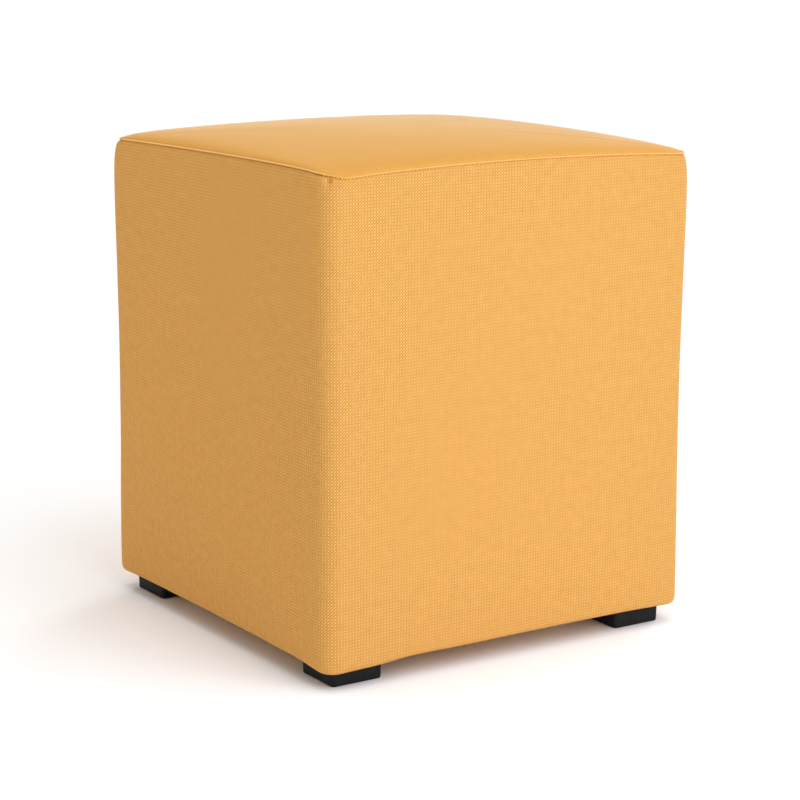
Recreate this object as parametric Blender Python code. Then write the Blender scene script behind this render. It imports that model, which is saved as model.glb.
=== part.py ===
"""Cube pouf stool: a padded cube in woven cloth on four low square feet.

A side band wraps the four upright faces and is turned under at the bottom. A square top panel,
crowned by its padding, is sewn to the band along one seam whose turned edge stands proud as a thin
lip. The front (-Y) and left (-X) faces meet at the corner called near.

Metres, +Z up. The origin is on the floor under the middle of the cube.
"""

import math
from typing import NamedTuple

import bmesh
import bpy

# Driving dimensions
WIDTH = 0.400  # across two opposite sides of the cube, at the widest
FOOT_SIDE = 0.053
FOOT_HEIGHT = 0.020
FOOT_INSET = 0.0155  # from the cube's side to the foot's side
HEM_Z = 0.0198  # lowest line of the turned-under cloth, halfway along a side
SEAM_Z = 0.4484  # seam at the cube's corners
RIM_RISE = 0.0050  # padded rim above the lip
GAP = 0.0003  # clearance kept between neighbouring pieces

# How much higher the seam runs halfway along each side than at the corners
FRONT_ARCH = 0.0062
BACK_ARCH = 0.0045
LEFT_ARCH = 0.0042
RIGHT_ARCH = 0.0045

# Shape of the rim: the power sets how near the edge it rises, the ease how round it is there
RIM_POWER = 9.0
RIM_EASE = 0.65

# Steps round the outline. Every ring has the same count, so rings join one to one.
CORNER_STEPS = 7
SIDE_STEPS = 12

# How far from a corner the unevenness of the cloth there still reaches
SEAM_REACH = 0.024
HEM_REACH = 0.045
TUCK_DEPTH = 0.005  # how far below the seam a tuck fades out

FOOT_CORNER_RADIUS = 0.0040
FOOT_BOTTOM_RADIUS = 0.0016
FOOT_TAPER = 0.985  # width at the floor against the width at the top

SHARP_ANGLE = math.radians(50)  # edges sharper than this stay crisp in the shading


class Finish(NamedTuple):
    """How one material looks."""

    name: str
    colour: tuple  # linear red, green, blue, alpha
    roughness: float
    sheen: float


CLOTH = Finish("woven upholstery cloth", (0.78, 0.40, 0.10, 1.0), 0.85, 0.3)
PLASTIC = Finish("moulded black plastic", (0.018, 0.018, 0.020, 1.0), 0.55, 0.0)


class Corner(NamedTuple):
    """One upright corner of the cube, and how the cloth there departs from even."""

    name: str
    x_side: int
    y_side: int
    seam_drop: float  # seam lower than its even run
    drop_along_x: float  # from the corner to the lowest point of the seam
    seam_tuck: float  # seam drawn in along each axis
    hem_drop: float  # folded bottom edge lower than halfway along a side


CORNERS = (
    Corner("near", -1, -1, 0.0022, 0.0200, 0.0004, 0.0044),
    Corner("right", 1, -1, 0.0004, 0.0000, 0.0002, 0.0016),
    Corner("far", 1, 1, 0.0006, 0.0000, 0.0012, 0.0016),
    Corner("left", -1, 1, 0.0004, 0.0000, 0.0034, 0.0018),
)


class BandRow(NamedTuple):
    """One ring of the side band. The table below runs from the underside up to the seam."""

    share: float  # 0 at the hem, 1 at the seam
    rise: float  # added height
    inset: float  # in from the widest line
    radius: float  # of the upright corners
    sag: float  # share of the corner's hem drop


BAND_ROWS = (
    BandRow(0.00, 0.0005, 0.0150, 0.0060, 0.00),  # flat underside begins
    BandRow(0.00, 0.0002, 0.0085, 0.0105, 0.55),
    BandRow(0.00, 0.0000, 0.0052, 0.0125, 1.00),  # lowest line of the folded cloth
    BandRow(0.00, 0.0010, 0.0022, 0.0140, 1.00),
    BandRow(0.00, 0.0032, 0.0006, 0.0152, 0.90),
    BandRow(0.00, 0.0080, 0.0001, 0.0160, 0.70),
    BandRow(0.00, 0.0240, 0.0000, 0.0160, 0.30),
    BandRow(0.22, 0.0000, 0.0004, 0.0160, 0.00),
    BandRow(0.50, 0.0000, 0.0009, 0.0160, 0.00),  # slight waist
    BandRow(0.76, 0.0000, 0.0005, 0.0160, 0.00),
    BandRow(1.00, -0.0480, 0.0000, 0.0160, 0.00),  # fullest just under the seam
    BandRow(1.00, -0.0240, 0.0000, 0.0165, 0.00),
    BandRow(1.00, -0.0140, 0.0001, 0.0180, 0.00),
    BandRow(1.00, -0.0080, 0.0003, 0.0196, 0.00),
    BandRow(1.00, -0.0040, 0.0007, 0.0208, 0.00),
    BandRow(1.00, -0.0016, 0.0014, 0.0225, 0.00),
    BandRow(1.00, -0.0006, 0.0024, 0.0235, 0.00),  # crease under the seam
    BandRow(1.00, 0.0000, 0.0036, 0.0240, 0.00),
)


class PanelRow(NamedTuple):
    """One ring of the top panel, from its underside out round the lip and in over the crown."""

    rise: float  # above the seam, before the crown is added
    inset: float
    radius: float
    crowned: bool


PANEL_ROWS = (
    PanelRow(GAP, 0.0036, 0.0240, False),  # underside, over the band's top ring
    PanelRow(GAP, 0.0022, 0.0235, False),
    PanelRow(0.0006, 0.0010, 0.0225, False),
    PanelRow(0.0014, 0.0007, 0.0222, False),  # widest line of the sewn lip
    PanelRow(0.0022, 0.0011, 0.0224, False),
    PanelRow(0.0025, 0.0019, 0.0230, False),  # groove behind the lip
    PanelRow(0.0020, 0.0032, 0.0236, True),
    PanelRow(0.0021, 0.0060, 0.0245, True),
    PanelRow(0.0022, 0.0100, 0.0255, True),
    PanelRow(0.0022, 0.0160, 0.0270, True),
    PanelRow(0.0022, 0.0250, 0.0300, True),
    PanelRow(0.0022, 0.0380, 0.0340, True),
    PanelRow(0.0022, 0.0580, 0.0400, True),
    PanelRow(0.0022, 0.0900, 0.0480, True),
    PanelRow(0.0022, 0.1350, 0.0500, True),
)


def corner_share(corner, x, y, reach, along_x=0.0):
    """1 at this corner, or at a place further along x, falling smoothly to 0 past the reach."""
    away_x = WIDTH / 2 - along_x - corner.x_side * x
    away_y = WIDTH / 2 - corner.y_side * y
    return math.exp(-(away_x**2 + away_y**2) / reach**2)


def hem_drop(x, y):
    """How far the folded bottom edge hangs below HEM_Z at this place."""
    return sum(corner.hem_drop * corner_share(corner, x, y, HEM_REACH) for corner in CORNERS)


def seam_height(x, y):
    """Height of the seam, or inside it of the smooth sheet stretched between its four sides."""
    u = x / WIDTH + 0.5
    v = y / WIDTH + 0.5
    front_to_back = FRONT_ARCH * (1 - v) + BACK_ARCH * v
    left_to_right = LEFT_ARCH * (1 - u) + RIGHT_ARCH * u
    arch = front_to_back * 4 * u * (1 - u) + left_to_right * 4 * v * (1 - v)
    sag = sum(
        corner.seam_drop * corner_share(corner, x, y, SEAM_REACH, corner.drop_along_x)
        for corner in CORNERS
    )
    return SEAM_Z + arch - sag


def crown_height(x, y):
    """Height of the padded rim above the seam: nothing at the edge, full at the middle."""
    across = [min(abs(place) / (WIDTH / 2), 1.0) for place in (x, y)]
    return RIM_RISE * math.prod((1 - t**RIM_POWER) ** RIM_EASE for t in across)


def plan_ring(inset, radius):
    """Points of a square with round corners, anticlockwise, closer together near the corners."""
    half = WIDTH / 2 - inset
    centre = half - radius
    points = []
    for quarter in range(4):
        turn = quarter * math.pi / 2
        local = []
        for step in range(CORNER_STEPS + 1):
            angle = step / CORNER_STEPS * math.pi / 2
            local.append((centre + radius * math.cos(angle), centre + radius * math.sin(angle)))
        for step in range(1, SIDE_STEPS):
            eased = math.cos(math.pi * step / SIDE_STEPS)
            local.append((centre * eased, half))
        points += [
            (x * math.cos(turn) - y * math.sin(turn), x * math.sin(turn) + y * math.cos(turn))
            for x, y in local
        ]
    return points


def tucked(x, y, below_seam):
    """The place drawn in at the corners, most at the seam and nothing past TUCK_DEPTH below it."""
    fade = math.exp(-max(below_seam, 0.0) / TUCK_DEPTH)
    for corner in CORNERS:
        pull = corner.seam_tuck * corner_share(corner, x, y, SEAM_REACH) * fade
        x -= corner.x_side * pull
        y -= corner.y_side * pull
    return x, y


def band_ring(row):
    """The points of one ring of the side band."""
    ring = []
    for x, y in plan_ring(row.inset, row.radius):
        base = HEM_Z + row.rise - row.sag * hem_drop(x, y)
        z = base + row.share * (seam_height(x, y) - HEM_Z)
        ring.append((*tucked(x, y, seam_height(x, y) - z), z))
    return ring


def panel_ring(row):
    """The points of one ring of the top panel."""
    ring = []
    for x, y in plan_ring(row.inset, row.radius):
        z = seam_height(x, y) + row.rise
        if row.crowned:
            z += crown_height(x, y)
        ring.append((*tucked(x, y, 0.0), z))
    return ring


def new_material(finish):
    """A Principled material with this finish."""
    material = bpy.data.materials.new(finish.name)
    material.use_nodes = True
    shader = material.node_tree.nodes["Principled BSDF"]
    shader.inputs["Base Color"].default_value = finish.colour
    shader.inputs["Roughness"].default_value = finish.roughness
    shader.inputs["Metallic"].default_value = 0.0
    shader.inputs["Sheen Weight"].default_value = finish.sheen
    return material


def finished_mesh(name, work, material):
    """Turns a bmesh into a smooth-shaded mesh whose faces point outwards."""
    bmesh.ops.recalc_face_normals(work, faces=work.faces)
    mesh = bpy.data.meshes.new(name)
    work.to_mesh(mesh)
    work.free()
    mesh.materials.append(material)
    mesh.shade_smooth()
    mesh.set_sharp_from_angle(angle=SHARP_ANGLE)
    return mesh


def add_object(name, mesh, parent, location=(0.0, 0.0, 0.0)):
    """A named object with this mesh, placed under the parent."""
    obj = bpy.data.objects.new(name, mesh)
    obj.location = location
    obj.parent = parent
    bpy.context.scene.collection.objects.link(obj)


def skin_rings(rings, first_pole, last_pole):
    """Bridges each ring to the next, then closes each end over a pole."""
    work = bmesh.new()
    loops = []
    for ring in rings:
        verts = [work.verts.new(point) for point in ring]
        loops.append([work.edges.new(pair) for pair in zip(verts, verts[1:] + verts[:1])])
    for lower, upper in zip(loops, loops[1:]):
        bmesh.ops.bridge_loops(work, edges=lower + upper)
    for loop, pole in ((loops[0], first_pole), (loops[-1], last_pole)):
        cap = bmesh.ops.contextual_create(work, geom=loop)["faces"]
        centre = bmesh.ops.poke(work, faces=cap)["verts"][0]
        centre.co = pole
    return work


def make_side_band(material, parent):
    """The filled cube body, wrapped in its band of cloth."""
    rings = [band_ring(row) for row in BAND_ROWS]
    underside = (0.0, 0.0, HEM_Z + BAND_ROWS[0].rise)
    top = (0.0, 0.0, seam_height(0.0, 0.0))
    mesh = finished_mesh("side_band", skin_rings(rings, underside, top), material)
    add_object("side_band", mesh, parent)


def make_top_panel(material, parent):
    """The crowned seat panel, from the seam up."""
    rings = [panel_ring(row) for row in PANEL_ROWS]
    under = (0.0, 0.0, seam_height(0.0, 0.0) + GAP)
    top = (0.0, 0.0, seam_height(0.0, 0.0) + PANEL_ROWS[-1].rise + crown_height(0.0, 0.0))
    mesh = finished_mesh("top_panel", skin_rings(rings, under, top), material)
    add_object("top_panel", mesh, parent)


def foot_mesh(material):
    """A square foot about its own origin at the middle of its flat floor face."""
    work = bmesh.new()
    bmesh.ops.create_cube(work, size=1.0)
    bmesh.ops.scale(work, vec=(FOOT_SIDE, FOOT_SIDE, FOOT_HEIGHT), verts=work.verts)
    bmesh.ops.translate(work, vec=(0.0, 0.0, FOOT_HEIGHT / 2), verts=work.verts)
    floor_verts = [vert for vert in work.verts if vert.co.z < FOOT_HEIGHT / 2]
    bmesh.ops.scale(work, vec=(FOOT_TAPER, FOOT_TAPER, 1.0), verts=floor_verts)
    upright = [edge for edge in work.edges if edge.verts[0].co.z != edge.verts[1].co.z]
    round_off(work, upright, FOOT_CORNER_RADIUS, 4)
    floor_edges = [
        edge for edge in work.edges if max(vert.co.z for vert in edge.verts) < FOOT_BOTTOM_RADIUS
    ]
    round_off(work, floor_edges, FOOT_BOTTOM_RADIUS, 2)
    return finished_mesh("foot", work, material)


def round_off(work, edges, radius, segments):
    """Bevels these edges to a quarter round."""
    bmesh.ops.bevel(
        work, geom=edges, offset=radius, segments=segments, profile=0.5, affect="EDGES"
    )


def make_feet(material, parent):
    """Four feet under the corners, each its own object."""
    mesh = foot_mesh(material)
    out = WIDTH / 2 - FOOT_INSET - FOOT_SIDE / 2
    for corner in CORNERS:
        place = (corner.x_side * out, corner.y_side * out, 0.0)
        add_object(f"foot_{corner.name}", mesh, parent, place)


def main():
    """Clears the scene and builds the stool."""
    for old in list(bpy.data.objects):
        bpy.data.objects.remove(old)
    stool = bpy.data.objects.new("pouf_stool", None)
    bpy.context.scene.collection.objects.link(stool)
    cloth = new_material(CLOTH)
    plastic = new_material(PLASTIC)
    make_side_band(cloth, stool)
    make_top_panel(cloth, stool)
    make_feet(plastic, stool)


main()
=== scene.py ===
"""Cube pouf stool: its cloth, seam and feet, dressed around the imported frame.

The front face looks along -Y and the left face along -X. They meet at the corner called near.
Everything is in metres, +Z up, with the origin on the floor under the middle of the cube.
"""

import logging
import math
from collections.abc import Callable
from dataclasses import dataclass
from enum import Enum

import bmesh
import bpy
import numpy as np
from mathutils import Matrix, Vector, noise


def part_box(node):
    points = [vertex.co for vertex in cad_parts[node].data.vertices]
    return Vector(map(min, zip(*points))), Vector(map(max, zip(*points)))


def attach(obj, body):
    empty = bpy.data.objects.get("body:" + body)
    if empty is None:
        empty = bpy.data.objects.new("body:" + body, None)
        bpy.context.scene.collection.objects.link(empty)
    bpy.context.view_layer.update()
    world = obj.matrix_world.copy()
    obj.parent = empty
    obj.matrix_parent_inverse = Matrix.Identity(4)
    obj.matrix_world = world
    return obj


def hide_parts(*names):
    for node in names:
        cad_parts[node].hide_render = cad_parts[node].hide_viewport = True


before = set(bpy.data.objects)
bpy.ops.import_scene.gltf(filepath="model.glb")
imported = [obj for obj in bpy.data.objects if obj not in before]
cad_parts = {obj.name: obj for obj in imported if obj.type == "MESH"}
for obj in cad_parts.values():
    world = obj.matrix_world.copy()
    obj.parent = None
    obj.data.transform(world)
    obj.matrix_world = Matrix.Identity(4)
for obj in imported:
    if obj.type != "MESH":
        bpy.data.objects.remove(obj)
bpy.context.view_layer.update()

LOG = logging.getLogger("pouf")
MM = 0.001
BODY = "root"
Piece = bpy.types.Object


class Slot(Enum):
    """The record's material slots."""

    CLOTH = "cloth"
    FEET = "feet"


# ---- small tools


def linear(hex_colour: str) -> tuple[float, float, float, float]:
    """Turns an sRGB hex colour to linear values.

    Args:
        hex_colour: Six hex digits, as in "F2B35F".

    Returns:
        Linear red, green and blue, and an alpha of 1.
    """
    channels = [int(hex_colour[place : place + 2], 16) / 255 for place in (0, 2, 4)]
    red, green, blue = [c / 12.92 if c <= 0.04045 else ((c + 0.055) / 1.055) ** 2.4 for c in channels]
    return red, green, blue, 1.0


def add_node(
    tree: bpy.types.NodeTree,
    kind: str,
    values: dict[str | int, object] | None = None,
    links: dict[str | int, bpy.types.NodeSocket] | None = None,
    **settings: object,
) -> bpy.types.Node:
    """Adds a node with its settings and links.

    Args:
        tree: The node tree that gets the node.
        kind: The node's type name.
        values: Input socket, by name or number, to its own value.
        links: Input socket, by name or number, to the socket that feeds it.
        settings: The node's own properties.

    Returns:
        The new node.
    """
    node = tree.nodes.new(kind)
    for name, value in settings.items():
        setattr(node, name, value)
    for name, value in (values or {}).items():
        node.inputs[name].default_value = value
    for name, source in (links or {}).items():
        tree.links.new(source, node.inputs[name])
    return node


def new_material(
    name: str, values: dict[str, object]
) -> tuple[bpy.types.Material, bpy.types.NodeTree, bpy.types.Node]:
    """Starts a material.

    Args:
        name: Its name.
        values: Socket of its surface shader to its value.

    Returns:
        The material, its node tree and its surface shader.
    """
    material = bpy.data.materials.new(name)
    material.use_nodes = True
    shader = material.node_tree.nodes["Principled BSDF"]
    for socket, value in values.items():
        shader.inputs[socket].default_value = value
    return material, material.node_tree, shader


def take_up(piece: Piece) -> None:
    """Makes an object the only selected one, and the active one.

    Args:
        piece: The object.
    """
    bpy.ops.object.select_all(action="DESELECT")
    piece.select_set(True)
    bpy.context.view_layer.objects.active = piece


def started(name: str) -> Piece:
    """Names the primitive that was just added.

    Args:
        name: Its new name.

    Returns:
        The object.
    """
    piece = bpy.context.object
    piece.name = name
    piece.data.name = name
    return piece


def finish_modifier(piece: Piece, kind: str, **settings: object) -> None:
    """Adds a modifier to a piece and applies it.

    Args:
        piece: The object to change.
        kind: The modifier's type.
        settings: The modifier's properties.
    """
    take_up(piece)
    modifier = piece.modifiers.new(kind.lower(), kind)
    for name, value in settings.items():
        setattr(modifier, name, value)
    bpy.ops.object.modifier_apply(modifier=modifier.name)


def edit_edges(piece: Piece) -> None:
    """Opens a piece for edits of its edges, with nothing selected.

    Args:
        piece: The object.
    """
    take_up(piece)
    bpy.ops.object.mode_set(mode="EDIT")
    bpy.ops.mesh.select_mode(type="EDGE")
    bpy.ops.mesh.select_all(action="DESELECT")


def end_edit() -> None:
    """Turns all faces of the piece in edit mode outward, and leaves edit mode."""
    bpy.ops.mesh.select_all(action="SELECT")
    bpy.ops.mesh.normals_make_consistent(inside=False)
    bpy.ops.object.mode_set(mode="OBJECT")


def places_of(piece: Piece) -> np.ndarray:
    """Reads where a piece's vertices are.

    Args:
        piece: The object.

    Returns:
        Their places, one row each.
    """
    places = np.empty(len(piece.data.vertices) * 3)
    piece.data.vertices.foreach_get("co", places)
    return places.reshape(-1, 3)


def normals_of(piece: Piece) -> np.ndarray:
    """The piece's vertex normals, one row each."""
    return np.array([corner.vector for corner in piece.data.vertex_normals])


def put_places(piece: Piece, places: np.ndarray) -> None:
    """Moves the piece's vertices to these places."""
    piece.data.vertices.foreach_set("co", places.ravel())
    piece.data.update()


def hill(distance: np.ndarray, reach: float) -> np.ndarray:
    """1 at no distance, falling smoothly to 0 past the reach."""
    return np.exp(-((distance / reach) ** 2))


def step_up(distance: np.ndarray, ease: float) -> np.ndarray:
    """0 well before no distance and 1 well past it, smoothly."""
    return 0.5 + 0.5 * np.tanh(distance / ease)


def towards(azimuth: float, elevation: float) -> Vector:
    """Gives the direction from the cube to a lamp or a camera.

    Args:
        azimuth: Degrees from the front, above 0 to the right.
        elevation: Degrees above level.

    Returns:
        The direction, one unit long.
    """
    turn, rise = math.radians(azimuth), math.radians(elevation)
    return Vector((math.sin(turn) * math.cos(rise), -math.cos(turn) * math.cos(rise), math.sin(rise)))


# ---- the cube's outline and seam


@dataclass(frozen=True)
class Plan:
    """The cube seen from above: a square with round corners.

    A place on the outline is a number: even at the middle of a side, counted anticlockwise from
    0 at the right side, and odd at the middle of a corner.
    """

    half: float
    radius: float = 16 * MM
    crowd: float = 0.28  # how much closer together equal steps lie near the corners

    @property
    def eighth(self) -> float:
        """Length from the middle of a side to the middle of a corner, at the widest."""
        return self.half - self.radius + self.radius * math.pi / 4

    @property
    def girth(self) -> float:
        """Length once round."""
        return 8 * self.eighth

    def ring(
        self, place: np.ndarray, inset: np.ndarray, radius: np.ndarray
    ) -> tuple[np.ndarray, np.ndarray]:
        """Points of the outline drawn in by an inset.

        Args:
            place: Where on the outline.
            inset: In from the widest line.
            radius: Radius of the corners there.

        Returns:
            The points' x and y.
        """
        quarter = np.floor((place + 1) / 2)
        along = place - 2 * quarter
        eased = along * (1 + self.crowd) - self.crowd * along**3
        straight = self.half - inset - radius
        reach = np.abs(eased) * (straight + radius * math.pi / 4)
        turn = np.clip((reach - straight) / radius, 0, None)
        out = straight + radius * np.cos(turn)
        aside = np.copysign(np.minimum(reach, straight) + radius * np.sin(turn), eased)
        angle = quarter * math.pi / 2
        return out * np.cos(angle) - aside * np.sin(angle), out * np.sin(angle) + aside * np.cos(angle)

    def length(self, x: np.ndarray, y: np.ndarray) -> np.ndarray:
        """Measures anticlockwise round the widest outline, from the middle of the far corner.

        Args:
            x: The points' x.
            y: Their y.

        Returns:
            Their distances along the outline.
        """
        quarter = np.floor((np.arctan2(y, x) + math.pi / 4) / (math.pi / 2)) % 4
        angle = -quarter * math.pi / 2
        out = x * np.cos(angle) - y * np.sin(angle)
        aside = x * np.sin(angle) + y * np.cos(angle)
        straight = self.half - self.radius
        turn = np.arctan2(np.maximum(np.abs(aside) - straight, 0), np.maximum(out - straight, MM))
        reach = np.minimum(np.abs(aside), straight) + self.radius * turn
        return (quarter * 2 * self.eighth + np.copysign(reach, aside) - self.eighth) % self.girth

    def from_near(self, x: np.ndarray, y: np.ndarray) -> np.ndarray:
        """Distance along the outline from the near corner: below 0 on the left, above 0 in front."""
        return self.length(x, y) - self.girth / 2

    def depth(self, x: np.ndarray, y: np.ndarray) -> np.ndarray:
        """Distance in from the nearest side."""
        return self.half - np.maximum(np.abs(x), np.abs(y))


@dataclass(frozen=True)
class Corner:
    """How the cloth at one upright corner departs from even."""

    x_side: int
    y_side: int
    seam_drop: float
    drop_along_x: float  # from the corner to the lowest point of the seam
    seam_tuck: float
    hem_drop: float

    def share(
        self, plan: Plan, x: np.ndarray, y: np.ndarray, reach: float, along_x: float = 0.0
    ) -> np.ndarray:
        """Says how much points feel this corner.

        Args:
            plan: The cube's outline.
            x: The points' x.
            y: Their y.
            reach: How far the corner is felt.
            along_x: How far the middle lies from the corner, along x.

        Returns:
            1 at the middle, falling to 0 past the reach.
        """
        away_x = plan.half - along_x - self.x_side * x
        away_y = plan.half - self.y_side * y
        return np.exp(-(away_x**2 + away_y**2) / reach**2)


@dataclass(frozen=True)
class HemSag:
    """A place where the folded bottom edge hangs lower, by its distance from the near corner."""

    along: float
    drop: float
    reach: float


@dataclass(frozen=True)
class Tailoring:
    """Where the seam and the hem run, as the CAD solids have them, with the finer unevenness."""

    plan: Plan
    seam_z: float = 448.4 * MM
    hem_z: float = 19.8 * MM
    front_arch: float = 6.2 * MM
    back_arch: float = 4.5 * MM
    left_arch: float = 4.2 * MM
    right_arch: float = 4.5 * MM
    rim_rise: float = 5.0 * MM
    rim_power: float = 9.0
    rim_ease: float = 0.65
    seam_reach: float = 24 * MM
    hem_reach: float = 45 * MM
    tuck_depth: float = 5 * MM
    front_closing: float = 0.5  # how much less the seam opens in front
    closing_ease: float = 6 * MM
    opening_ease: float = 30 * MM  # round the right corner, where it opens again
    pinch: float = 0.9  # how much less it opens just past the near corner
    pinch_along: float = 15 * MM
    pinch_reach: float = 18 * MM
    corner_lift: float = 5.9 * MM  # the seam was sewn a little high at the near corner
    left_lift_share: float = 0.83  # of it, the part that fades slowly along the left side
    left_lift_reach: float = 160 * MM
    left_lift_ease: float = 27 * MM
    front_lift: float = 0.9 * MM  # what stays of it along the first part of the front
    front_lift_reach: float = 45 * MM
    front_lift_ease: float = 8 * MM
    lift_ease: float = 9 * MM
    lift_depth: float = 22 * MM  # how far in from the edge the lift is still felt
    corners: tuple[Corner, ...] = (
        Corner(-1, -1, 2.2 * MM, 20 * MM, 0.4 * MM, 4.4 * MM),
        Corner(1, -1, 0.4 * MM, 0.0, 0.2 * MM, 1.6 * MM),
        Corner(1, 1, 0.6 * MM, 0.0, 1.2 * MM, 1.6 * MM),
        Corner(-1, 1, 0.4 * MM, 0.0, 3.4 * MM, 1.8 * MM),
    )
    hem_sags: tuple[HemSag, ...] = (
        HemSag(52 * MM, 1.9 * MM, 26 * MM),
        HemSag(150 * MM, 0.6 * MM, 40 * MM),
        HemSag(-86 * MM, 0.8 * MM, 22 * MM),
        HemSag(-215 * MM, -0.4 * MM, 40 * MM),
    )

    def lift(self, x: np.ndarray, y: np.ndarray) -> np.ndarray:
        """Says how much higher the seam runs near the near corner than its even line.

        Args:
            x: The points' x.
            y: Their y.

        Returns:
            Their lifts.
        """
        outward = self.plan.half / np.maximum(np.maximum(np.abs(x), np.abs(y)), MM)
        along = self.plan.from_near(x * outward, y * outward)
        depth = np.maximum(self.plan.depth(x, y), 0)
        slow = self.left_lift_share * hill(along, self.left_lift_reach)
        quick = (1 - self.left_lift_share) * np.exp(np.minimum(along, 0) / self.left_lift_ease)
        left = self.corner_lift * (slow + quick)
        front = self.front_lift * (1 - step_up(along - self.front_lift_reach, self.front_lift_ease))
        fall = np.exp(-np.abs(along) / (self.lift_ease + depth))
        right = front + (self.corner_lift - self.front_lift) * fall
        return np.exp(-depth / self.lift_depth) * np.where(along < 0, left, right)

    def seam(self, x: np.ndarray, y: np.ndarray) -> np.ndarray:
        """Gives the height of the seam, or inside it of a sheet stretched between its four sides.

        Args:
            x: The points' x.
            y: Their y.

        Returns:
            The heights there.
        """
        u = x / (2 * self.plan.half) + 0.5
        v = y / (2 * self.plan.half) + 0.5
        front_to_back = self.front_arch * (1 - v) + self.back_arch * v
        left_to_right = self.left_arch * (1 - u) + self.right_arch * u
        arch = front_to_back * 4 * u * (1 - u) + left_to_right * 4 * v * (1 - v)
        sag = sum(
            c.seam_drop * c.share(self.plan, x, y, self.seam_reach, c.drop_along_x)
            for c in self.corners
        )
        return self.seam_z + arch - sag + self.lift(x, y)

    def crown(self, x: np.ndarray, y: np.ndarray) -> np.ndarray:
        """Height of the padded rim above the seam: nothing at the edge, full inside it."""
        across = [np.minimum(np.abs(place) / self.plan.half, 1.0) for place in (x, y)]
        return self.rim_rise * math.prod((1 - t**self.rim_power) ** self.rim_ease for t in across)

    def hem_drop(self, x: np.ndarray, y: np.ndarray) -> np.ndarray:
        """Says how far the folded bottom edge hangs below its even line.

        Args:
            x: The points' x.
            y: Their y.

        Returns:
            The drops there.
        """
        drop = sum(c.hem_drop * c.share(self.plan, x, y, self.hem_reach) for c in self.corners)
        along = self.plan.from_near(x, y)
        return drop + sum(sag.drop * hill(along - sag.along, sag.reach) for sag in self.hem_sags)

    def tucked(self, x: np.ndarray, y: np.ndarray, below: np.ndarray) -> tuple[np.ndarray, np.ndarray]:
        """Draws points in at the corners, most at the seam.

        Args:
            x: Their x.
            y: Their y.
            below: How far below the seam they lie.

        Returns:
            Their new x and y.
        """
        fade = np.exp(-np.maximum(below, 0) / self.tuck_depth)
        pulls = [c.seam_tuck * c.share(self.plan, x, y, self.seam_reach) * fade for c in self.corners]
        new_x = x - sum(c.x_side * pull for c, pull in zip(self.corners, pulls))
        new_y = y - sum(c.y_side * pull for c, pull in zip(self.corners, pulls))
        return new_x, new_y

    def welt(self, x: np.ndarray, y: np.ndarray) -> np.ndarray:
        """Says how open the seam is, with its turned edge standing up as a welt.

        Args:
            x: The points' x.
            y: Their y.

        Returns:
            1 on the left, less in front and little just past the near corner.
        """
        along = self.plan.from_near(x, y)
        right_corner = step_up(along - 2 * self.plan.eighth, self.opening_ease)
        front = step_up(along, self.closing_ease) * (1 - right_corner)
        pinched = hill(along - self.pinch_along, self.pinch_reach)
        return (1 - self.front_closing * front) * (1 - self.pinch * pinched)

    def pressed(
        self, place: np.ndarray, opened: np.ndarray | float, closed: np.ndarray | float
    ) -> np.ndarray:
        """Fits a measure of the rows beside the seam to how open it is.

        Args:
            place: Where on the outline.
            opened: The measure where the seam is fully open.
            closed: The measure where it is quite closed.

        Returns:
            The measure at these places.
        """
        x, y = self.plan.ring(place, 0 * place, 0 * place + self.plan.radius)
        return closed + self.welt(x, y) * (opened - closed)


# ---- finishes


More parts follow.
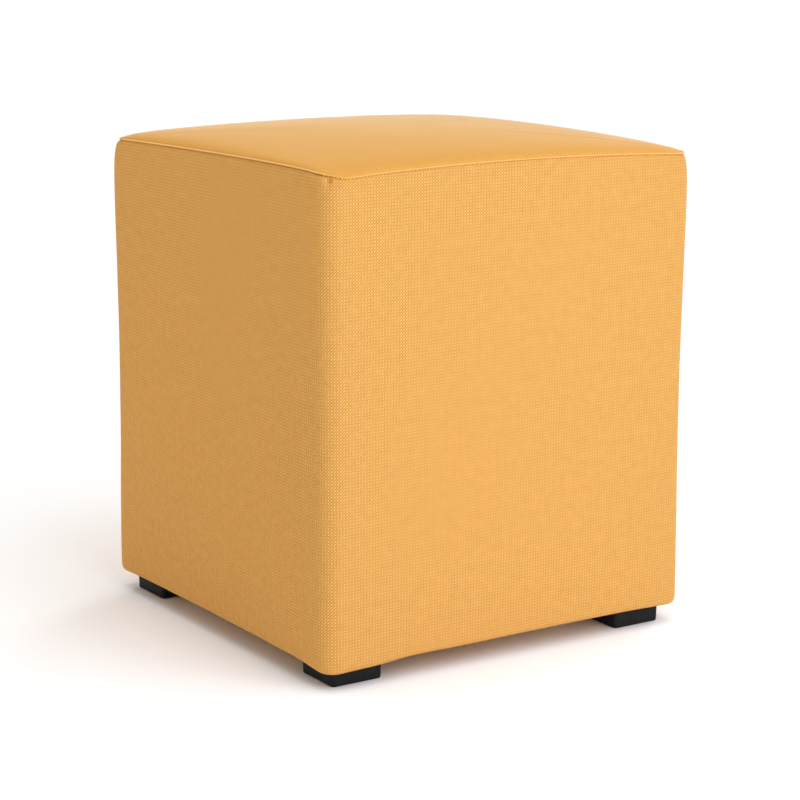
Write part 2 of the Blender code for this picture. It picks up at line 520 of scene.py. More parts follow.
@dataclass(frozen=True)
class WovenCloth:
    """Woven polyester upholstery cloth, mustard yellow.

    Thick soft yarns in a plain weave give an even field of small knuckles set in rows, half a step
    apart, with dips between them. Besides the bump, the colour paints the weave's light and shade:
    knuckles lighter as lit, dips darker as shaded. Loose fibre ends catch light at grazing angles,
    so the seat looks paler than the sides.
    """

    name: str = "woven polyester upholstery cloth"
    # Painted light and shade of the weave: the knuckles' colour as lit, the dips' as shaded.
    lit_knuckle: str = "FABB64"
    shaded_dip: str = "B07A39"
    sheen_tint: str = "FFF9DC"
    roughness: float = 0.9
    specular: float = 0.25
    sheen: float = 0.05
    sheen_roughness: float = 0.15
    warp_pitch: float = 1.5 * MM  # across the upright yarns
    weft_pitch: float = 1.4 * MM  # across the level yarns
    lean: float = 0.26  # share of the waves that rise to the right
    counter_lean: float = 0.12
    level: float = 0.11
    upright: float = 0.13
    relief: float = 0.4 * MM
    wander: float = 0.5 * MM  # how far the yarns stray
    wander_size: float = 14 * MM
    fibre: float = 0.35
    fibre_size: float = 0.9 * MM
    patchiness: float = 0.25
    patch_size: float = 8 * MM
    fold_highlight: str = "FCCB80"  # painted highlight, lighter than the cloth, along the welt's crest

    def material(self, girth: float) -> bpy.types.Material:
        """Makes the cloth.

        Args:
            girth: Length round the cube. A whole number of repeats fits it, so the weave meets
                itself.

        Returns:
            The material, which reads the piece's UV map in metres.
        """
        values = {
            "Roughness": self.roughness,
            "Specular IOR Level": self.specular,
            "Sheen Weight": self.sheen,
            "Sheen Roughness": self.sheen_roughness,
            "Sheen Tint": linear(self.sheen_tint),
        }
        material, tree, shader = new_material(self.name, values)
        repeats = round(girth / (2 * self.warp_pitch))
        cloth_place = add_node(tree, "ShaderNodeUVMap", uv_map="cloth").outputs["UV"]
        at_place = {"Vector": cloth_place}
        noise_kind = "ShaderNodeTexNoise"
        # Yarn wanders by a fraction of a millimetre
        wander = add_node(tree, noise_kind, {"Scale": 1 / self.wander_size, "Detail": 2.0}, at_place)
        centred = add_node(
            tree,
            "ShaderNodeVectorMath",
            {1: (0.5, 0.5, 0.5)},
            {0: wander.outputs["Color"]},
            operation="SUBTRACT",
        )
        strayed = add_node(
            tree,
            "ShaderNodeVectorMath",
            {1: (self.wander, self.wander, 0.0)},
            {0: centred.outputs["Vector"], 2: cloth_place},
            operation="MULTIPLY_ADD",
        )
        threads = add_node(
            tree,
            "ShaderNodeVectorMath",
            {1: (2 * math.pi * repeats / girth, math.pi / self.weft_pitch, 0.0)},
            {0: strayed.outputs["Vector"]},
            operation="MULTIPLY",
        )
        split = add_node(tree, "ShaderNodeSeparateXYZ", links={0: threads.outputs["Vector"]})
        warp, weft = split.outputs["X"], split.outputs["Y"]
        rising = add_node(tree, "ShaderNodeMath", links={0: warp, 1: weft}, operation="SUBTRACT")
        falling = add_node(tree, "ShaderNodeMath", links={0: warp, 1: weft}, operation="ADD")
        waves = [
            (rising.outputs[0], self.lean),
            (falling.outputs[0], self.counter_lean),
            (weft, self.level),
            (warp, self.upright),
        ]
        height = None
        for phase, size in waves:
            wave = add_node(tree, "ShaderNodeMath", links={0: phase}, operation="COSINE")
            links = {0: wave.outputs[0]}
            if height:
                links[2] = height.outputs[0]
            height = add_node(
                tree, "ShaderNodeMath", {1: size, 2: 0.5}, links, operation="MULTIPLY_ADD"
            )
        fibre = add_node(tree, noise_kind, {"Scale": 1 / self.fibre_size, "Detail": 3.0}, at_place)
        rough_height = add_node(
            tree,
            "ShaderNodeMath",
            {1: self.fibre},
            {0: fibre.outputs["Fac"], 2: height.outputs[0]},
            operation="MULTIPLY_ADD",
        )
        # Yarn lots differ a little, in soft patches of about a centimetre
        patches = add_node(tree, noise_kind, {"Scale": 1 / self.patch_size, "Detail": 3.0}, at_place)
        shade = add_node(
            tree,
            "ShaderNodeMath",
            {1: self.patchiness},
            {0: patches.outputs["Fac"], 2: height.outputs[0]},
            operation="MULTIPLY_ADD",
        )
        # Painted light and shade: the weave's height also sets the colour, so lit knuckles are lighter
        # and shaded dips darker; the patches add the yarn lots' own tone.
        colour = add_node(
            tree,
            "ShaderNodeMapRange",
            {"From Min": 0.5 * self.patchiness, "From Max": 1 + 0.5 * self.patchiness},
            {"Value": shade.outputs[0]},
        )
        mixed = add_node(
            tree,
            "ShaderNodeMix",
            {6: linear(self.shaded_dip), 7: linear(self.lit_knuckle)},
            {0: colour.outputs["Result"]},
            data_type="RGBA",
        )
        # Painted highlight: on the welt's crest, as the seat marks it, the colour is mixed toward a
        # lighter one that stands in for the light the crest catches.
        folded = add_node(tree, "ShaderNodeAttribute", attribute_name="fold_highlight")
        lit = add_node(
            tree,
            "ShaderNodeMix",
            {7: linear(self.fold_highlight)},
            {0: folded.outputs["Fac"], 6: mixed.outputs[2]},
            data_type="RGBA",
        )
        bump = add_node(
            tree,
            "ShaderNodeBump",
            {"Strength": 1.0, "Distance": self.relief},
            {"Height": rough_height.outputs[0]},
        )
        tree.links.new(lit.outputs[2], shader.inputs["Base Color"])
        tree.links.new(bump.outputs["Normal"], shader.inputs["Normal"])
        return material


@dataclass(frozen=True)
class SpunThread:
    """Spun polyester sewing thread, dyed to the cloth: a touch lighter where it spans the seam."""

    name: str = "spun polyester thread"
    colour: str = "E9AE5C"
    roughness: float = 0.8
    ply: float = 0.5 * MM
    relief: float = 0.05 * MM

    def material(self) -> bpy.types.Material:
        """Makes the thread.

        Returns:
            The material, which reads Object coordinates.
        """
        values = {"Base Color": linear(self.colour), "Roughness": self.roughness}
        material, tree, shader = new_material(self.name, values)
        place = add_node(tree, "ShaderNodeTexCoord")
        plies = add_node(
            tree,
            "ShaderNodeTexWave",
            {"Scale": 1 / (20 * self.ply), "Distortion": 1.0},
            {"Vector": place.outputs["Object"]},
            bands_direction="DIAGONAL",
        )
        bump = add_node(
            tree,
            "ShaderNodeBump",
            {"Strength": 1.0, "Distance": self.relief},
            {"Height": plies.outputs["Fac"]},
        )
        tree.links.new(bump.outputs["Normal"], shader.inputs["Normal"])
        return material


@dataclass(frozen=True)
class MouldedPlastic:
    """Injection-moulded polypropylene, black, from a spark-eroded mould.

    The mould's fine grain scatters the light, so the feet look charcoal with no sharp reflections.
    """

    name: str = "moulded black polypropylene"
    colour: str = "0B0A0C"
    smoothest: float = 0.57
    roughest: float = 0.75
    specular: float = 0.3
    scuff_size: float = 9 * MM
    grain: float = 0.35 * MM
    relief: float = 0.03 * MM

    def material(self) -> bpy.types.Material:
        """Makes the plastic.

        Returns:
            The material, which reads Object coordinates.
        """
        values = {"Base Color": linear(self.colour), "Specular IOR Level": self.specular}
        material, tree, shader = new_material(self.name, values)
        place = {"Vector": add_node(tree, "ShaderNodeTexCoord").outputs["Object"]}
        noise_kind = "ShaderNodeTexNoise"
        grain = add_node(tree, noise_kind, {"Scale": 1 / self.grain, "Detail": 2.0}, place)
        scuffs = add_node(tree, noise_kind, {"Scale": 1 / self.scuff_size, "Detail": 4.0}, place)
        gloss = add_node(
            tree,
            "ShaderNodeMapRange",
            {"To Min": self.smoothest, "To Max": self.roughest},
            {"Value": scuffs.outputs["Fac"]},
        )
        bump = add_node(
            tree,
            "ShaderNodeBump",
            {"Strength": 1.0, "Distance": self.relief},
            {"Height": grain.outputs["Fac"]},
        )
        tree.links.new(gloss.outputs["Result"], shader.inputs["Roughness"])
        tree.links.new(bump.outputs["Normal"], shader.inputs["Normal"])
        return material


@dataclass(frozen=True)
class FloorPaint:
    """Matt white studio floor paint: it shows only the softest shadow."""

    name: str = "matt white floor paint"
    colour: str = "FEFEFE"

    def material(self) -> bpy.types.Material:
        """Makes the paint.

        Returns:
            The material, the same all over.
        """
        values = {"Base Color": linear(self.colour), "Roughness": 1.0, "Specular IOR Level": 0.0}
        return new_material(self.name, values)[0]


# ---- padded pieces


@dataclass
class PaddedPiece:
    """Cloth over padding: what the side band and the top panel have in common."""

    tailoring: Tailoring
    finish: WovenCloth
    columns_a_side: int = 100
    pressure: float = 4.0
    frames: int = 20
    swell: float = 1.2 * MM  # the most that a point may move as the padding swells
    uneven: float = 0.22 * MM
    uneven_size: float = 60 * MM
    level_from: float = 0.9  # upward share of a face's normal from which it counts as level
    crease_angle: float = 70.0

    def swell_padding(self, piece: Piece, sewn: np.ndarray) -> None:
        """Lets the padding press the cloth out between its sewn lines.

        Args:
            piece: The padded form, still open where it isn't seen.
            sewn: For each vertex, 1 where it is held fast and 0 where it is free.
        """
        before = places_of(piece)
        held = piece.vertex_groups.new(name="sewn")
        for strength in np.unique(sewn[sewn > 0]):
            held.add(np.flatnonzero(sewn == strength).tolist(), float(strength), "REPLACE")
        take_up(piece)
        bpy.ops.object.modifier_add(type="CLOTH")
        cloth = piece.modifiers[-1]
        cloth.settings.vertex_group_mass = held.name
        cloth.settings.use_pressure = True
        cloth.settings.uniform_pressure_force = self.pressure
        cloth.settings.effector_weights.gravity = 0
        for step in range(1, self.frames + 1):
            bpy.context.scene.frame_set(step)
        bpy.ops.object.modifier_apply(modifier=cloth.name)
        bpy.context.scene.frame_set(1)
        moved = places_of(piece) - before
        furthest = np.linalg.norm(moved, axis=1).max()
        put_places(piece, before + moved * min(1.0, self.swell / furthest))
        piece.vertex_groups.clear()
        LOG.info("%s swelled, furthest %.1f mm before the cap", piece.name, furthest / MM)

    def make_uneven(self, piece: Piece, share: np.ndarray) -> None:
        """Adds the soft unevenness of foam under cloth.

        Args:
            piece: The fine mesh.
            share: For each vertex, how much of the unevenness it takes.
        """
        places = places_of(piece)
        waves = np.array([noise.noise(Vector(place) / self.uneven_size) for place in places])
        moved = normals_of(piece) * (waves * share * self.uneven)[:, None]
        put_places(piece, places + moved)

    def lay_cloth(self, piece: Piece, wrapped: bool) -> None:
        """Gives the piece a UV map in metres that follows its yarns.

        Args:
            piece: The finished mesh.
            wrapped: Whether upright faces are wrapped round the cube. Level ones lie flat.
        """
        plan = self.tailoring.plan
        mesh = piece.data
        if "cloth" not in mesh.uv_layers:
            mesh.uv_layers.new(name="cloth")
        for old in [other for other in mesh.uv_layers if other.name != "cloth"]:
            mesh.uv_layers.remove(old)
        layer = mesh.uv_layers["cloth"]
        places = places_of(piece)
        corners = np.empty(len(mesh.loops), int)
        mesh.loops.foreach_get("vertex_index", corners)
        x, y, z = places[corners].T
        uv = np.stack([x, y], 1)
        if wrapped:
            around = plan.length(x, y)
            starts = np.empty(len(mesh.polygons), int)
            mesh.polygons.foreach_get("loop_start", starts)
            counts = np.diff(np.append(starts, len(corners)))
            highest = np.repeat(np.maximum.reduceat(around, starts), counts)
            around = np.where(highest - around > plan.girth / 2, around + plan.girth, around)
            level = np.empty(len(mesh.polygons) * 3)
            mesh.polygons.foreach_get("normal", level)
            flat = np.repeat(np.abs(level.reshape(-1, 3)[:, 2]) > self.level_from, counts)
            upright = np.stack([around, z], 1)
            uv = np.where(flat[:, None], uv, upright)
        layer.data.foreach_set("uv", uv.ravel())
        mesh.uv_layers.active = layer

    def declare(self, piece: Piece, node: str, fill: float) -> None:
        """Dresses the piece, hangs it on the body and hides the CAD node in its place.

        Args:
            piece: The finished mesh.
            node: The CAD node that it replaces.
            fill: How full the padding is. Not used.
        """
        take_up(piece)
        bpy.ops.object.shade_smooth_by_angle(angle=math.radians(self.crease_angle))
        piece.data.materials.clear()
        piece.data.materials.append(self.finish.material(self.tailoring.plan.girth))
        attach(piece, BODY)
        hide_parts(node)


@dataclass(frozen=True)
class BandRow:
    """One level ring of the side band, from the underside up to the seam."""

    share: float  # 0 at the hem, 1 at the seam
    rise: float
    inset: float
    radius: float
    sag: float
    closed_inset: float | None = None  # where the seam is quite closed, if not the same


@dataclass(frozen=True)
class SoftMark:
    """A soft trough or ridge in the side cloth, at a listed place."""

    along: float  # from the near corner, above 0 in front
    below: float  # its middle, under the seam
    lean: float  # degrees from upright
    length: float
    width: float
    depth: float  # above 0 for a trough


@dataclass
class SideBand(PaddedPiece):
    """The strip of cloth round the four upright sides, sewn to the seat and folded under."""

    name: str = "side_cloth"
    waist: float = 0.9 * MM
    plain_rows: int = 22
    sewn_depth: float = 10 * MM  # under the seam, where the cloth is held fast
    hem_height: float = 4 * MM  # above the bottom edge, the same
    calm_top: float = 12 * MM  # under the seam, where the unevenness fades
    calm_top_ease: float = 8 * MM
    calm_foot: float = 30 * MM  # above the floor, the same
    calm_foot_ease: float = 10 * MM
    mark_guard: float = 1.0 * MM  # under the seam, where no mark is pressed
    mark_guard_ease: float = 0.8 * MM
    hem_rows: tuple[BandRow, ...] = (
        BandRow(0.0, 0.5 * MM, 15.0 * MM, 6.0 * MM, 0.0),
        BandRow(0.0, 0.2 * MM, 8.5 * MM, 10.5 * MM, 0.55),
        BandRow(0.0, 0.0, 5.2 * MM, 12.5 * MM, 1.0),
        BandRow(0.0, 1.0 * MM, 2.2 * MM, 14.0 * MM, 1.0),
        BandRow(0.0, 3.2 * MM, 0.6 * MM, 15.2 * MM, 0.9),
        BandRow(0.0, 8.0 * MM, 0.1 * MM, 16.0 * MM, 0.7),
        BandRow(0.0, 15.0 * MM, 0.0, 16.0 * MM, 0.5),
        BandRow(0.0, 24.0 * MM, 0.0, 16.0 * MM, 0.3),
    )
    seam_rows: tuple[BandRow, ...] = (
        BandRow(1.0, -24.0 * MM, 0.0, 16.5 * MM, 0.0),
        BandRow(1.0, -14.0 * MM, 0.05 * MM, 18.0 * MM, 0.0),
        BandRow(1.0, -8.0 * MM, 0.12 * MM, 19.6 * MM, 0.0),
        BandRow(1.0, -5.0 * MM, 0.2 * MM, 20.4 * MM, 0.0),
        BandRow(1.0, -3.2 * MM, 0.3 * MM, 21.0 * MM, 0.0),
        BandRow(1.0, -2.0 * MM, 0.5 * MM, 22.0 * MM, 0.0, 0.42 * MM),
        BandRow(1.0, -1.1 * MM, 0.8 * MM, 22.6 * MM, 0.0, 0.45 * MM),
        BandRow(1.0, -0.4 * MM, 1.3 * MM, 23.4 * MM, 0.0, 0.5 * MM),
        BandRow(1.0, 0.1 * MM, 1.8 * MM, 24.0 * MM, 0.0, 0.7 * MM),
        BandRow(1.0, 0.1 * MM, 5.5 * MM, 24.5 * MM, 0.0),
    )
    marks: tuple[SoftMark, ...] = (
        SoftMark(0.5 * MM, 3.2 * MM, 4, 3.6 * MM, 2.8 * MM, 3.2 * MM),
        SoftMark(-6.0 * MM, 6.0 * MM, -14, 8.0 * MM, 3.5 * MM, -0.25 * MM),
        SoftMark(22.0 * MM, 1.0 * MM, 60, 4.0 * MM, 6.0 * MM, 0.35 * MM),
        SoftMark(-388.0 * MM, 4.0 * MM, 20, 5.0 * MM, 2.5 * MM, -0.5 * MM),
    )

    def rows(self) -> list[BandRow]:
        """Lists all rings.

        Returns:
            The rings, from the underside to the seam.
        """
        height = self.tailoring.seam_z - self.tailoring.hem_z
        first = self.hem_rows[-1].rise / height
        last = 1 + self.seam_rows[0].rise / height
        radius = self.tailoring.plan.radius
        plain = [
            BandRow(share, 0.0, self.waist * math.sin(math.pi * share) ** 2, radius, 0.0)
            for share in np.linspace(first, last, self.plain_rows + 2)[1:-1]
        ]
        return [*self.hem_rows, *plain, *self.seam_rows]

    def cut_strip(self) -> Piece:
        """Cuts the flat strip, one cell a column and a row, and wraps it round the cube.

        Returns:
            The strip, still open at the far corner, below and above.
        """
        rows = self.rows()
        bpy.ops.mesh.primitive_grid_add(
            x_subdivisions=4 * self.columns_a_side, y_subdivisions=len(rows) - 1, size=2
        )
        strip = started(self.name)
        places = places_of(strip)
        around = 5 + 4 * places[:, 0]  # once round, from 1 at the far corner to 9
        row = np.round((places[:, 1] + 1) / 2 * (len(rows) - 1)).astype(int)
        share, rise, inset, radius, sag = [
            np.array([getattr(one, column) for one in rows])[row]
            for column in ("share", "rise", "inset", "radius", "sag")
        ]
        closed = [one.inset if one.closed_inset is None else one.closed_inset for one in rows]
        tailoring = self.tailoring
        inset = tailoring.pressed(around, inset, np.array(closed)[row])
        x, y = tailoring.plan.ring(around, inset, radius)
        seam = tailoring.seam(x, y)
        base = tailoring.hem_z + rise - sag * tailoring.hem_drop(x, y)
        z = base + share * (seam - tailoring.hem_z)
        x, y = tailoring.tucked(x, y, seam - z)
        put_places(strip, np.stack([x, y, z], 1))
        return strip

    @staticmethod
    def join_ends(strip: Piece) -> None:
        """Joins the strip's two ends at the far corner.

        Args:
            strip: The strip, wrapped round.
        """
        edit_edges(strip)
        bpy.ops.mesh.select_all(action="SELECT")
        bpy.ops.mesh.remove_doubles(threshold=0.01 * MM)
        end_edit()

    def close(self, strip: Piece) -> None:
        """Closes the form below and under the seat.

        Args:
            strip: The fine mesh.
        """
        edit_edges(strip)
        for above in (False, True):
            self.select_rim(strip, above)
            bpy.ops.mesh.edge_face_add()
            bpy.ops.mesh.poke()
        end_edit()

    @staticmethod
    def select_rim(piece: Piece, above: bool) -> None:
        """Selects the open edge at the top or at the bottom.

        Args:
            piece: The object, in edit mode.
            above: Whether the top one is meant.
        """
        bpy.ops.mesh.select_all(action="DESELECT")
        work = bmesh.from_edit_mesh(piece.data)
        middle = sum(vert.co.z for vert in work.verts) / len(work.verts)
        for edge in work.edges:
            if edge.is_boundary and (edge.verts[0].co.z > middle) == above:
                edge.select = True
        bmesh.update_edit_mesh(piece.data)

    def press_marks(self, piece: Piece) -> None:
        """Presses the small troughs and ridges into the cloth.

        Args:
            piece: The fine mesh.
        """
        places = places_of(piece)
        x, y, z = places.T
        along = self.tailoring.plan.from_near(x, y)
        below = self.tailoring.seam(x, y) - z
        deep = np.zeros(len(places))
        for mark in self.marks:
            lean = math.radians(mark.lean)
            across = (along - mark.along) * math.cos(lean) + (below - mark.below) * math.sin(lean)
            down = (below - mark.below) * math.cos(lean) - (along - mark.along) * math.sin(lean)
            deep += mark.depth * hill(across, mark.width) * hill(down, mark.length)
        deep *= step_up(below - self.mark_guard, self.mark_guard_ease)
        put_places(piece, places - normals_of(piece) * deep[:, None])

    def make(self) -> Piece:
        """Builds and dresses the band.

        Returns:
            The finished piece.
        """
        band = self.cut_strip()
        self.join_ends(band)
        x, y, z = places_of(band).T
        below = self.tailoring.seam(x, y) - z
        sewn = (below < self.sewn_depth) | (z < self.tailoring.hem_z + self.hem_height)
        self.swell_padding(band, sewn.astype(float))
        finish_modifier(band, "SUBSURF", levels=1, render_levels=1)
        x, y, z = places_of(band).T
        below = self.tailoring.seam(x, y) - z
        free = step_up(below - self.calm_top, self.calm_top_ease)
        self.make_uneven(band, free * step_up(z - self.calm_foot, self.calm_foot_ease))
        self.press_marks(band)
        self.close(band)
        self.lay_cloth(band, wrapped=True)
        self.declare(band, "side_band", fill=0.9)
        return band


@dataclass(frozen=True)
class EdgeRow:
    """One ring of the seat's sewn edge, from behind the welt out, down and under, in millimetres."""

    rise: float  # above the seam
    inset: float
    radius: float
    closed_rise: float  # the same two where the seam is quite closed
    closed_inset: float


@dataclass
class TopPanel(PaddedPiece):
    """The padded seat: one square of cloth, its edge turned down and sewn to the band."""

    name: str = "seat_cloth"
    groove: float = 2.9 * MM  # inset of the first ring inside the sewn edge
    groove_rise: float = 1.4 * MM
    shoulder_rise: float = 0.7 * MM  # more, by which the padding lifts the cloth at once
    shoulder_reach: float = 3.0 * MM
    corner_radius: float = 23.6 * MM  # of the first ring; the rings inside it are rounder
    corner_growth: float = 0.32
    corner_limit: float = 0.9  # of a ring's half width
    # These place the painted highlight on the welt's crest.
    fold_rise: float = 1.45 * MM  # middle of the welt's crest
    fold_reach: float = 0.6 * MM
    fold_inset: float = 1.5 * MM  # in from the side, where the marked crest ends
    fold_inset_ease: float = 0.3 * MM
    fold_radius: float = 23 * MM
    calm_rim: float = 14 * MM  # in from the side, where the unevenness fades
    calm_rim_ease: float = 8 * MM
    upper_rise: float = 1.5 * MM  # above the seam, from where the cloth is the seat's upper side
    edge_rows: tuple[EdgeRow, ...] = (
        EdgeRow(1.1, 2.4, 23.2, 2.2, 2.1),
        EdgeRow(0.85, 2.0, 22.9, 1.85, 1.5),
        EdgeRow(1.6, 1.65, 22.6, 1.5, 1.1),
        EdgeRow(2.05, 1.1, 22.3, 1.2, 0.8),
        EdgeRow(1.6, 0.4, 22.0, 0.9, 0.65),
        EdgeRow(0.9, 0.2, 22.0, 0.6, 0.55),
        EdgeRow(0.35, 0.6, 22.4, 0.35, 0.55),
        EdgeRow(0.12, 1.4, 23.0, 0.12, 0.8),
        EdgeRow(0.1, 2.6, 23.6, 0.1, 2.6),
        EdgeRow(0.1, 6.0, 24.5, 0.1, 6.0),
    )

    def cut_square(self) -> Piece:
        """Cuts the square of cloth and extrudes its turned edge, ring by ring.

        Returns:
            The square, two units wide, with each vertex's ring in "edge_row".
        """
        bpy.ops.mesh.primitive_grid_add(
            x_subdivisions=self.columns_a_side, y_subdivisions=self.columns_a_side, size=2
        )
        square = started(self.name)
        edit_edges(square)
        work = bmesh.from_edit_mesh(square.data)
        work.verts.layers.int.new("edge_row")
        for edge in work.edges:
            edge.select = edge.is_boundary
        bmesh.update_edit_mesh(square.data)
        for count in range(1, len(self.edge_rows) + 1):
            bpy.ops.mesh.extrude_region_move()
            work = bmesh.from_edit_mesh(square.data)
            layer = work.verts.layers.int["edge_row"]
            for vert in work.verts:
                if vert.select:
                    vert[layer] = count
            bmesh.update_edit_mesh(square.data)
        bpy.ops.object.mode_set(mode="OBJECT")
        return square

    @staticmethod
    def close(seat: Piece) -> None:
        """Closes the form underneath.

        Args:
            seat: The fine mesh.
        """
        edit_edges(seat)
        bpy.ops.mesh.select_non_manifold()
        bpy.ops.mesh.edge_face_add()
        bpy.ops.mesh.poke()
        end_edit()

    def shape(self, square: Piece) -> np.ndarray:
        """Moves the square's points onto the seat.

        Args:
            square: The mesh, still two units wide.

        Returns:
            For each vertex, its ring in the sewn edge, or 0 inside it.
        """
        count = len(square.data.vertices)
        edge_row = np.empty(count, int)
        square.data.attributes["edge_row"].data.foreach_get("value", edge_row)
        a, b, _ = places_of(square).T
        ring = np.maximum(np.abs(a), np.abs(b))
        safe = np.maximum(ring, 1e-6)
        quarter = np.select([a >= ring, b >= ring, a <= -ring], [0, 1, 2], 3)
        along = np.select([quarter == 0, quarter == 1, quarter == 2], [b, -a, -b], a) / safe
        tailoring = self.tailoring
        half = tailoring.plan.half
        inset = half - (half - self.groove) * ring
        rounder = self.corner_radius + self.corner_growth * (inset - self.groove)
        radius = np.maximum(np.minimum(rounder, self.corner_limit * (half - inset)), 0.1 * MM)
        shoulder = 1 - np.exp(-(inset - self.groove) / self.shoulder_reach)
        rise = self.groove_rise + self.shoulder_rise * shoulder
        edge = edge_row > 0
        place = 2.0 * quarter + along
        table = {
            column: np.array([getattr(row, column) for row in self.edge_rows])[edge_row[edge] - 1] * MM
            for column in ("rise", "inset", "radius", "closed_rise", "closed_inset")
        }
        radius[edge] = table["radius"]
        rise[edge] = tailoring.pressed(place[edge], table["rise"], table["closed_rise"])
        inset[edge] = tailoring.pressed(place[edge], table["inset"], table["closed_inset"])
        x, y = tailoring.plan.ring(place, inset, radius)
        z = tailoring.seam(x, y) + rise
        z = np.where(edge, z, z + tailoring.crown(x, y))
        x, y = tailoring.tucked(x, y, 0 * z)
        put_places(square, np.stack([x, y, z], 1))
        return edge_row

    def mark_fold_highlight(self, seat: Piece) -> None:
        """Marks the crest of the welt in "fold", where a lighter colour is painted on as a highlight.

        Args:
            seat: The fine mesh.
        """
        x, y, z = places_of(seat).T
        plan = self.tailoring.plan
        rise = z - self.tailoring.seam(x, y)
        straight = plan.half - self.fold_radius
        past_x, past_y = np.abs(x) - straight, np.abs(y) - straight
        round_inset = self.fold_radius - np.hypot(past_x, past_y)
        inset = np.where((past_x > 0) & (past_y > 0), round_inset, plan.depth(x, y))
        outer = 1 - step_up(inset - self.fold_inset, self.fold_inset_ease)
        crest = hill(rise - self.fold_rise, self.fold_reach) * outer
        fold_highlight = seat.data.attributes.new("fold_highlight", "FLOAT", "POINT")
        fold_highlight.data.foreach_set("value", crest * self.tailoring.welt(x, y))

    def make(self) -> Piece:
        """Builds and dresses the seat.

        Returns:
            The finished piece.
        """
        seat = self.cut_square()
        edge_row = self.shape(seat)
        edit_edges(seat)
        end_edit()
        self.swell_padding(seat, (edge_row > 0).astype(float))
        finish_modifier(seat, "SUBSURF", levels=1, render_levels=1)
        x, y, z = places_of(seat).T
        inside = step_up(self.tailoring.plan.depth(x, y) - self.calm_rim, self.calm_rim_ease)
        upper = z > self.tailoring.seam(x, y) + self.upper_rise
        self.make_uneven(seat, inside * upper)
        self.mark_fold_highlight(seat)
        self.close(seat)
        self.lay_cloth(seat, wrapped=False)
        self.declare(seat, "top_panel", fill=0.9)
        return seat


@dataclass
class SeamStitches:
    """The thread that shows in the seam as a row of small dashes."""

    tailoring: Tailoring
    finish: SpunThread
    name: str = "seam_stitches"
    pitch: float = 4.0 * MM
    length: float = 2.2 * MM
    thickness: float = 0.6 * MM
    rise: float = 0.05 * MM
    radius: float = 22.5 * MM
    open_inset: float = 1.2 * MM
    closed_inset: float = 0.4 * MM
    samples: int = 8001  # points that measure the way round

    def wrap(self, row: Piece, girth: float) -> None:
        """Lays the straight row of stitches round the cube, in the seam.

        Args:
            row: The stitches along x, with y outwards.
            girth: Length of the row.
        """
        plan = self.tailoring.plan
        steps = np.linspace(0, 8, self.samples)
        x, y = plan.ring(steps, 0 * steps, 0 * steps + self.radius)
        gone = np.append(0, np.cumsum(np.hypot(np.diff(x), np.diff(y))))
        along, out, up = places_of(row).T
        place = np.interp(along / girth * gone[-1], gone, steps)
        inset = self.tailoring.pressed(place, self.open_inset, self.closed_inset)
        x, y = plan.ring(place, inset - out, 0 * place + self.radius)
        z = self.tailoring.seam(x, y) + self.rise + up
        x, y = self.tailoring.tucked(x, y, 0 * z)
        put_places(row, np.stack([x, y, z], 1))

    def make(self) -> Piece:
        """Builds and dresses the stitches.

        Returns:
            The finished piece.
        """
        girth = self.tailoring.plan.girth
        count = round(girth / self.pitch)
        bpy.ops.object.select_all(action="DESELECT")
        bpy.ops.mesh.primitive_uv_sphere_add(segments=8, ring_count=5, radius=0.5)
        row = started(self.name)
        row.rotation_euler = (0.0, math.pi / 2, 0.0)
        row.scale = (self.thickness, self.thickness, self.length)
        row.location.x = self.pitch / 2
        bpy.ops.object.transform_apply(location=True, rotation=True, scale=True)
        finish_modifier(
            row,
            "ARRAY",
            count=count,
            use_relative_offset=False,
            use_constant_offset=True,
            constant_offset_displace=(girth / count, 0.0, 0.0),
        )
        self.wrap(row, girth)
        take_up(row)
        bpy.ops.object.shade_smooth()
        row.data.materials.append(self.finish.material())
        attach(row, BODY)
        return row


# ---- feet


@dataclass
class SquareFoot:
    """One moulded foot: a low square block, narrower at the floor, with round edges."""

    node: str
    finish: MouldedPlastic
    taper: float = 0.985
    corner_radius: float = 4.0 * MM
    floor_radius: float = 1.6 * MM
    top_radius: float = 0.5 * MM
    crease_angle: float = 40.0
    level_within: float = 0.1 * MM  # of the foot's lower or upper face

    def make(self) -> Piece:
        """Builds and dresses the foot in the place of its CAD node.

        Returns:
            The finished piece.
        """
        low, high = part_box(self.node)
        middle = (low + high) / 2
        size = high - low
        bpy.ops.object.select_all(action="DESELECT")
        bpy.ops.mesh.primitive_cube_add(size=1, location=middle)
        foot = started(self.node.replace("foot", "moulded_foot"))
        foot.scale = size
        bpy.ops.object.transform_apply(location=True, rotation=True, scale=True)
        edit_edges(foot)
        just_above, just_below = low.z + self.level_within, high.z - self.level_within
        self.round_edges(foot, lambda a, b: abs(a.z - b.z) > MM, self.corner_radius, 8)
        self.round_edges(foot, lambda a, b: max(a.z, b.z) < just_above, self.floor_radius, 4)
        self.round_edges(foot, lambda a, b: min(a.z, b.z) > just_below, self.top_radius, 2)
        end_edit()
        places = places_of(foot)
        wide = self.taper + (1 - self.taper) * (places[:, 2] - low.z) / size.z
        places[:, :2] = np.array(middle.xy) + (places[:, :2] - np.array(middle.xy)) * wide[:, None]
        put_places(foot, places)
        take_up(foot)
        bpy.ops.object.shade_smooth_by_angle(angle=math.radians(self.crease_angle))
        foot.data.materials.append(self.finish.material())
        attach(foot, BODY)
        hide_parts(self.node)
        return foot

    @staticmethod
    def round_edges(
        piece: Piece, wanted: Callable[[Vector, Vector], bool], radius: float, steps: int
    ) -> None:
        """Bevels the edges whose two ends pass a test.

        Args:
            piece: The object, in edit mode.
            wanted: A function of an edge's two ends.
            radius: Width of the bevel.
            steps: Its number of segments.
        """
        bpy.ops.mesh.select_all(action="DESELECT")
        work = bmesh.from_edit_mesh(piece.data)
        for edge in work.edges:
            edge.select = bool(wanted(edge.verts[0].co, edge.verts[1].co))
        bmesh.update_edit_mesh(piece.data)
        bpy.ops.mesh.bevel(offset=radius, segments=steps, profile=0.5)


# ---- studio


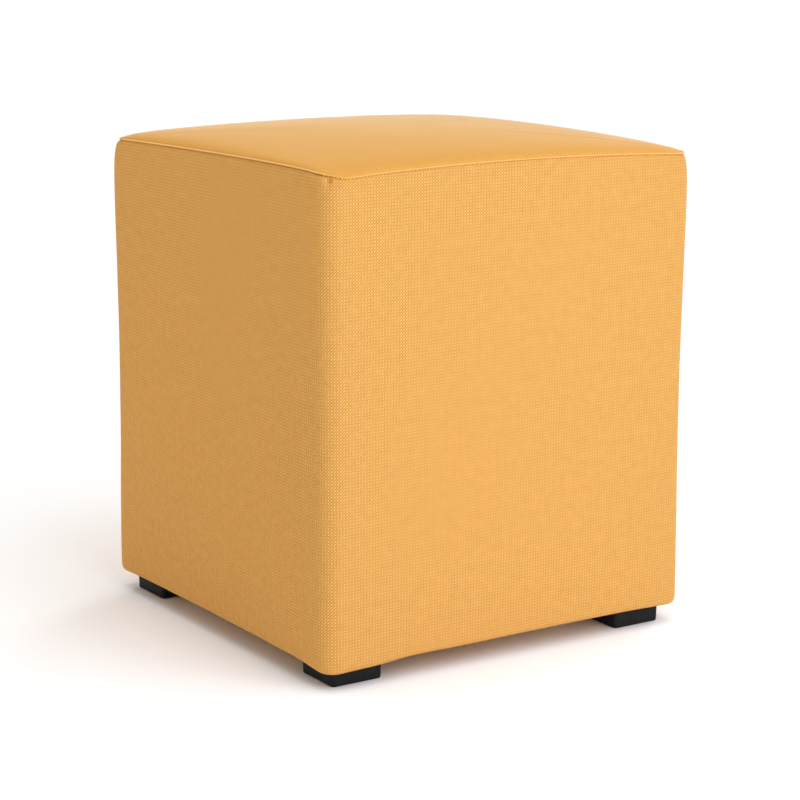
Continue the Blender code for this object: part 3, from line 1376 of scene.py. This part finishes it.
@dataclass(frozen=True)
class SoftLight:
    """A wide soft light, far off."""

    name: str
    azimuth: float  # degrees, as the camera's
    elevation: float
    strength: float
    softness: float  # degrees across
    colour: str = "FFFFFF"

    def make(self) -> None:
        """Hangs the light, turned to the cube."""
        bpy.ops.object.light_add(type="SUN")
        lamp = bpy.context.object
        lamp.name = self.name
        lamp.data.energy = self.strength
        lamp.data.angle = math.radians(self.softness)
        lamp.data.color = linear(self.colour)[:3]
        back = towards(self.azimuth, self.elevation)
        lamp.rotation_euler = back.to_track_quat("Z", "Y").to_euler()


@dataclass(frozen=True)
class SoftBox:
    """A square soft lamp above one face of the cube, near enough to light its top edge most."""

    name: str
    azimuth: float  # degrees, as the camera's
    elevation: float
    power: float
    colour: str = "FFFFFF"
    distance: float = 1.3
    side: float = 0.9

    def make(self) -> None:
        """Hangs the lamp, turned to the floor under the cube's middle."""
        bpy.ops.object.light_add(type="AREA")
        lamp = bpy.context.object
        lamp.name = self.name
        lamp.data.energy = self.power
        lamp.data.size = self.side
        lamp.data.color = linear(self.colour)[:3]
        lamp.visible_camera = False
        back = towards(self.azimuth, self.elevation)
        lamp.location = back * self.distance
        lamp.rotation_euler = back.to_track_quat("Z", "Y").to_euler()


@dataclass(frozen=True)
class Studio:
    """Pale floor, soft lights and the camera at the photograph's angle."""

    azimuth: float = -33.595
    elevation: float = 12.209
    roll: float = 0.300
    lens: float = 107.59
    distance: float = 2.3487
    aim_across: float = 6.57 * MM
    aim_up: float = 199.44 * MM
    sensor: float = 36.0
    floor_size: float = 120.0
    sky: float = 0.46
    lights: tuple[SoftLight | SoftBox, ...] = (
        SoftLight("key", 20, 45, 0.68, 50, "E8F1FF"),
        SoftLight("overhead", -10, 80, 1.1, 60),
        SoftLight("back light", 120, 8, 2.2, 30),
        SoftBox("right box", 5, 27, 5.4, "E8F1FF"),
        SoftBox("left box", -95, 27, 0.9, "FFF6E6"),
    )

    def make_camera(self) -> None:
        """Sets up the camera at the photograph's angle."""
        turn, roll = math.radians(self.azimuth), math.radians(self.roll)
        back = towards(self.azimuth, self.elevation)
        right = Vector((math.cos(turn), math.sin(turn), 0.0))
        up = back.cross(right)
        place = back * self.distance + right * self.aim_across + up * self.aim_up
        rolled_right = right * math.cos(roll) + up * math.sin(roll)
        rolled_up = up * math.cos(roll) - right * math.sin(roll)
        bpy.ops.object.camera_add()
        camera = bpy.context.object
        camera.name = "camera"
        turned = Matrix((rolled_right, rolled_up, back)).transposed().to_4x4()
        camera.matrix_world = Matrix.Translation(place) @ turned
        camera.data.sensor_width = self.sensor
        camera.data.lens = self.lens
        camera.data.dof.use_dof = False
        bpy.context.scene.camera = camera

    def make_floor(self) -> None:
        """Lays the floor."""
        bpy.ops.mesh.primitive_plane_add(size=self.floor_size)
        floor = started("floor")
        floor.data.materials.append(FloorPaint().material())

    def make_sky(self) -> None:
        """Fills the room with even white light."""
        world = bpy.data.worlds.new("white room")
        world.use_nodes = True
        shade = world.node_tree.nodes["Background"]
        shade.inputs["Color"].default_value = (1, 1, 1, 1)
        shade.inputs["Strength"].default_value = self.sky
        bpy.context.scene.world = world

    def make(self) -> None:
        """Builds the studio."""
        self.make_camera()
        self.make_floor()
        self.make_sky()
        for light in self.lights:
            light.make()
        bpy.context.scene.view_settings.view_transform = "Standard"


def main() -> None:
    """Builds the stool piece by piece, and the studio round it."""
    logging.basicConfig(level=logging.INFO, format="%(name)s: %(message)s")
    low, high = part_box("side_band")
    plan = Plan(half=(high.x - low.x) / 2)
    tailoring = Tailoring(plan)
    Studio().make()
    # The seat takes the same cloth with a flatter relief and more sheen. Its knuckle and dip colours,
    # a little warmer and lower in contrast than the sides', are painted light, set for how the seat is
    # lit.
    seat_cloth = WovenCloth(
        name="woven cloth stretched over the seat, with painted light",
        lit_knuckle="EDAD54",
        shaded_dip="CE9446",
        relief=0.12 * MM,
        specular=0.1,
        sheen=0.85,
        sheen_roughness=0.13,
    )
    plastic = MouldedPlastic()
    makers: list[SideBand | TopPanel | SeamStitches | SquareFoot] = [
        SideBand(tailoring, WovenCloth()),
        TopPanel(tailoring, seat_cloth),
        SeamStitches(tailoring, SpunThread()),
    ]
    makers += [SquareFoot(name, plastic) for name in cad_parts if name.startswith("foot_")]
    for maker in makers:
        piece = maker.make()
        LOG.info("%s: %d faces", piece.name, len(piece.data.polygons))


if __name__ == "__main__":
    main()
